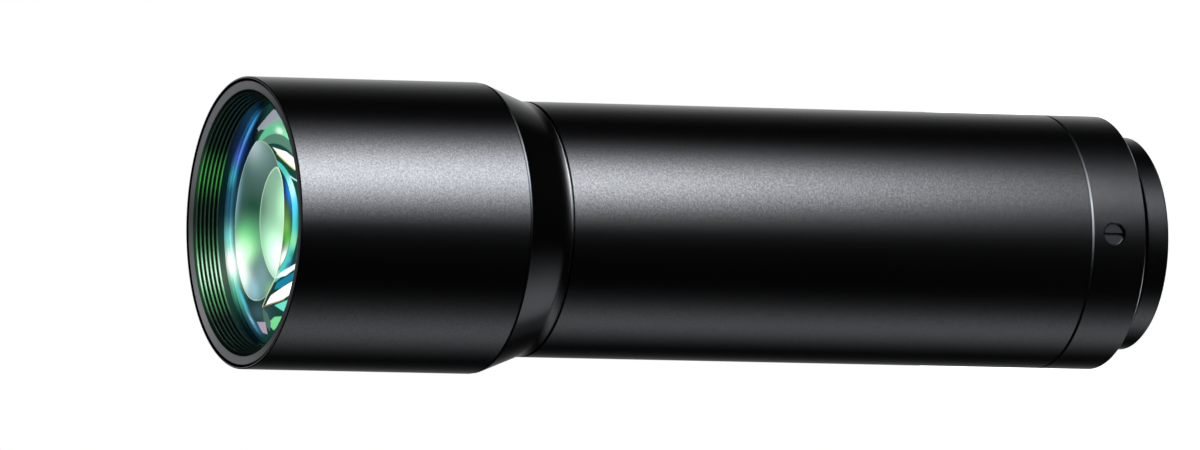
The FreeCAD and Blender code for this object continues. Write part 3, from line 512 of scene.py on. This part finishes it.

# Rear ring, collar, shim and screws. Both edges of the rear ring have painted highlights like the taper
# ring's, and its screw hole has a painted glint, light grey on the side of its wall that faces the light.
# The collar's sheen is dimmed by painted shade in the narrow gap under the ring.
rear_ring = skin_of("rear_ring")
rear_ring.data.materials.append(black_anodised)
# Painted highlights on the rear ring's two chamfers.
paint_chamfer_highlight(rear_ring, 13.0, 13.5, ((206, 210, 216), (18, 5.4), (30, 6.8)))
below = ((150, 152, 156), (18, -7.1), (30, 4.6))
above = ((140, 142, 146), (18, 12.4), (30, 2.6))
paint_chamfer_highlight(rear_ring, 4.9, 5.3, below, above)
# Painted glint: light grey on the hole's wall where it faces the light.
bare_metal = new_material("bare_metal", (0.42, 0.42, 0.43), 0.4)
rear_ring.data.materials.append(bare_metal)
hole_x, hole_z, hole_reach = 1.2, 10, 1.7
for polygon in rear_ring.data.polygons:
    place = polygon.center * 1000
    in_hole = abs(place.x - hole_x) < hole_reach and abs(place.z - hole_z) < hole_reach
    is_wall = -18 < place.y < -15 and abs(polygon.normal.y) < 0.5
    if in_hole and is_wall and polygon.normal.x > 0.3 and polygon.normal.z > 0.2:
        polygon.material_index = len(rear_ring.data.materials) - 1

mount_collar = skin_of("mount_collar")
# Painted shade: the collar's sheen fades out above 3.1 mm, in the gap under the ring.
collar_black = black_anodised.copy()
collar_black.name = "collar_black"
gap_shade = Painter(collar_black, (0, 0, 0))
collar_place = gap_shade.nodes.new("ShaderNodeSeparateXYZ")
gap_shade.links.new(gap_shade.place, collar_place.inputs[0])
open_share = gap_shade.ramp(collar_place.outputs["Z"], 0.0033, 0.0031)
collar_shine = gap_shade.shader.inputs["Specular IOR Level"]
dimmed = gap_shade.number("MULTIPLY", open_share, collar_shine.links[0].from_socket)
gap_shade.links.new(dimmed, collar_shine)
mount_collar.data.materials.append(collar_black)

shim_steel = new_material("shim_steel", (0.5, 0.5, 0.5), 0.3)
shim_steel.node_tree.nodes["Principled BSDF"].inputs["Metallic"].default_value = 1
shim = skin_of("back_focus_shim")
shim.data.materials.append(shim_steel)

black_steel = new_material("black_steel", (0.008, 0.008, 0.009), 0.35, 1.5)
screws = skin_of("grub_screws")
screws.data.materials.append(black_steel)

# Pieces inside: they keep the CAD mesh.
optical_glass = new_material("optical_glass", (0.02, 0.03, 0.03), 0.05, 1.6)
for node in ("front_flint_lens", "second_lens", "third_lens", "rear_crown_lens", "rear_flint_lens",
             "rear_singlet_lens"):
    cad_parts[node].data.materials.clear()
    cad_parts[node].data.materials.append(optical_glass)
for node in ("front_lens_spacer", "third_lens_retaining_ring", "baffle_tube", "stop_holder",
             "aperture_disc", "stop_retaining_ring", "rear_lens_cell", "rear_lens_spacer",
             "rear_retaining_ring"):
    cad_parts[node].data.materials.clear()
    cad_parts[node].data.materials.append(matte_anodised)

# World and floor: white to the camera and in reflections, a softer level for everything else. The floor
# is a small disc that keeps the contact shadow.
world = bpy.data.worlds.new("studio")
bpy.context.scene.world = world
world.use_nodes = True
tree = world.node_tree
path = tree.nodes.new("ShaderNodeLightPath")
seen = tree.nodes.new("ShaderNodeMath")
seen.operation = "ADD"
tree.links.new(path.outputs["Is Camera Ray"], seen.inputs[0])
tree.links.new(path.outputs["Is Glossy Ray"], seen.inputs[1])
seen_too = tree.nodes.new("ShaderNodeMath")
seen_too.operation = "ADD"
seen_too.use_clamp = True
tree.links.new(seen.outputs[0], seen_too.inputs[0])
tree.links.new(path.outputs["Is Transmission Ray"], seen_too.inputs[1])
level = tree.nodes.new("ShaderNodeMapRange")
level.inputs["To Min"].default_value = 0.4
level.inputs["To Max"].default_value = 1.0
tree.links.new(seen_too.outputs[0], level.inputs["Value"])
tree.links.new(level.outputs["Result"], tree.nodes["Background"].inputs["Strength"])
tree.nodes["Background"].inputs["Color"].default_value = (1, 1, 1, 1)

bpy.ops.mesh.primitive_circle_add(vertices=96, radius=0.07, fill_type="NGON", location=(0, 0, 0))
floor = bpy.context.object
floor.name = "floor"
floor_paint = new_material("floor_paint", (0.8, 0.8, 0.8), 0.9)
floor_paint.node_tree.nodes["Principled BSDF"].inputs["Emission Color"].default_value = (1, 1, 1, 1)
floor_paint.node_tree.nodes["Principled BSDF"].inputs["Emission Strength"].default_value = 0.88
floor.data.materials.append(floor_paint)
floor.visible_glossy = False
floor.visible_shadow = False

# Black cloth round the set: only reflections see it, so the tubes stay black between the lamps.
bpy.ops.mesh.primitive_uv_sphere_add(segments=48, ring_count=24, radius=3.0)
tent = bpy.context.object
tent.name = "black_tent"
tent.data.materials.append(new_material("black_cloth", (0.0, 0.0, 0.0), 1.0, 1.0))
tent.visible_camera = False
tent.visible_diffuse = False
tent.visible_transmission = False
tent.visible_shadow = False

# Lamps: curved diffusers round the axis, each brightest in its middle. An azimuth counts from +Y towards
# +X. The long sheen of a tube seen from 24 degrees above is a lamp's image from as far below.


def glow(tree, value, middle, spread):
    """Nodes for a bell curve of a value about its middle; spread is the half width at half height."""
    offset = tree.nodes.new("ShaderNodeMath")
    offset.operation = "SUBTRACT"
    tree.links.new(value, offset.inputs[0])
    offset.inputs[1].default_value = middle
    share = tree.nodes.new("ShaderNodeMath")
    share.operation = "DIVIDE"
    tree.links.new(offset.outputs[0], share.inputs[0])
    share.inputs[1].default_value = spread
    square = tree.nodes.new("ShaderNodeMath")
    square.operation = "MULTIPLY"
    tree.links.new(share.outputs[0], square.inputs[0])
    tree.links.new(share.outputs[0], square.inputs[1])
    bell = tree.nodes.new("ShaderNodeMath")
    bell.operation = "POWER"
    bell.inputs[0].default_value = 0.5
    tree.links.new(square.outputs[0], bell.inputs[1])
    return bell.outputs[0]


def diffuser(
    name, azimuth, spread, distance, low, high, radiance, fade=(-9, -8), colour=(1, 1, 1), twist=0
):
    """A lit sheet about Z. The light grows with height through the two heights of fade; its middle turns
    by twist degrees per metre of height, from 0.2 m below the origin."""
    reach = math.radians(spread * 2.4)
    strips = 32
    points = []
    for step in range(strips + 1):
        turn = reach * (2 * step / strips - 1)
        across = (distance * math.sin(turn), distance * math.cos(turn))
        points += [(*across, low), (*across, high)]
    faces = [(2 * i, 2 * i + 1, 2 * i + 3, 2 * i + 2) for i in range(strips)]
    mesh = bpy.data.meshes.new(name)
    mesh.from_pydata(points, [], faces)
    sheet = bpy.data.objects.new(name, mesh)
    bpy.context.collection.objects.link(sheet)
    sheet.rotation_euler.z = -math.radians(azimuth)
    material = bpy.data.materials.new(name)
    material.use_nodes = True
    tree = material.node_tree
    tree.nodes.clear()
    place = tree.nodes.new("ShaderNodeTexCoord")
    split = tree.nodes.new("ShaderNodeSeparateXYZ")
    tree.links.new(place.outputs["Object"], split.inputs[0])
    angle = tree.nodes.new("ShaderNodeMath")
    angle.operation = "ARCTAN2"
    tree.links.new(split.outputs["X"], angle.inputs[0])
    tree.links.new(split.outputs["Y"], angle.inputs[1])
    turned_by = tree.nodes.new("ShaderNodeMath")
    turned_by.operation = "MULTIPLY_ADD"
    tree.links.new(split.outputs["Z"], turned_by.inputs[0])
    turned_by.inputs[1].default_value = -math.radians(twist)
    tree.links.new(angle.outputs[0], turned_by.inputs[2])
    rise = tree.nodes.new("ShaderNodeMapRange")
    rise.interpolation_type = "SMOOTHSTEP"
    tree.links.new(split.outputs["Z"], rise.inputs["Value"])
    rise.inputs["From Min"].default_value, rise.inputs["From Max"].default_value = fade
    rise.inputs["To Max"].default_value = radiance
    strength = tree.nodes.new("ShaderNodeMath")
    strength.operation = "MULTIPLY"
    bell = glow(tree, turned_by.outputs[0], math.radians(0.2 * twist), math.radians(spread))
    tree.links.new(bell, strength.inputs[0])
    tree.links.new(rise.outputs["Result"], strength.inputs[1])
    emission = tree.nodes.new("ShaderNodeEmission")
    emission.inputs["Color"].default_value = (*colour, 1)
    tree.links.new(strength.outputs[0], emission.inputs["Strength"])
    output = tree.nodes.new("ShaderNodeOutputMaterial")
    tree.links.new(emission.outputs[0], output.inputs["Surface"])
    sheet.data.materials.append(material)
    sheet.visible_camera = False
    sheet.visible_transmission = False
    return sheet


cool = (0.9, 0.935, 1.0)
diffuser("key", 133.5, 17.8, 0.60, -0.32, 0.12, 11.6, (-0.26, -0.15), cool, twist=60)
diffuser("fill", 268.5, 15.5, 0.60, -0.55, 0.15, 0.72, colour=cool)
diffuser("low_fill", 268, 27, 0.60, -1.5, -0.62, 0.75, colour=cool)
diffuser("back_glow", 12, 21, 0.80, -0.70, 0.15, 0.7, colour=(0.97, 0.98, 1.0))
diffuser("under_glow", 338, 12, 0.80, -0.70, 0.15, 0.07, colour=cool)
overhead_light = bpy.data.lights.new("overhead", "AREA")
overhead_light.size = 0.2
overhead_light.energy = 6.6
overhead = bpy.data.objects.new("overhead", overhead_light)
bpy.context.collection.objects.link(overhead)
overhead.location = (0, 0, 0.9)
overhead.visible_camera = False
overhead.visible_glossy = False

# Camera: the lens lies across the picture, seen from the front at 66 degrees to its axis.
view_angle = math.radians(65.77)
roll = math.radians(1.366)
distance = 3.0
pixels_per_metre = 7083
back = Vector((0, -math.sin(view_angle), math.cos(view_angle)))
left = Vector((0, math.cos(view_angle), math.sin(view_angle)))
right = -math.cos(roll) * left + math.sin(roll) * Vector((1, 0, 0))
up = math.sin(roll) * left + math.cos(roll) * Vector((1, 0, 0))
middle = Vector((0, 0, 0.06825))
picture_width = 1200
picture_middle = (600, 225)
lens_middle = (687.6, 233.25)
camera_data = bpy.data.cameras.new("camera")
camera_data.sensor_width = 36
camera_data.lens = pixels_per_metre * distance * camera_data.sensor_width / picture_width
camera_data.clip_end = 20
camera = bpy.data.objects.new("camera", camera_data)
bpy.context.collection.objects.link(camera)
spot = middle + back * distance - right * (lens_middle[0] - picture_middle[0]) / pixels_per_metre
spot -= up * (picture_middle[1] - lens_middle[1]) / pixels_per_metre
camera.matrix_world = Matrix.Translation(spot) @ Matrix((right, up, back)).transposed().to_4x4()
bpy.context.scene.camera = camera
bpy.context.scene.view_settings.view_transform = "Standard"
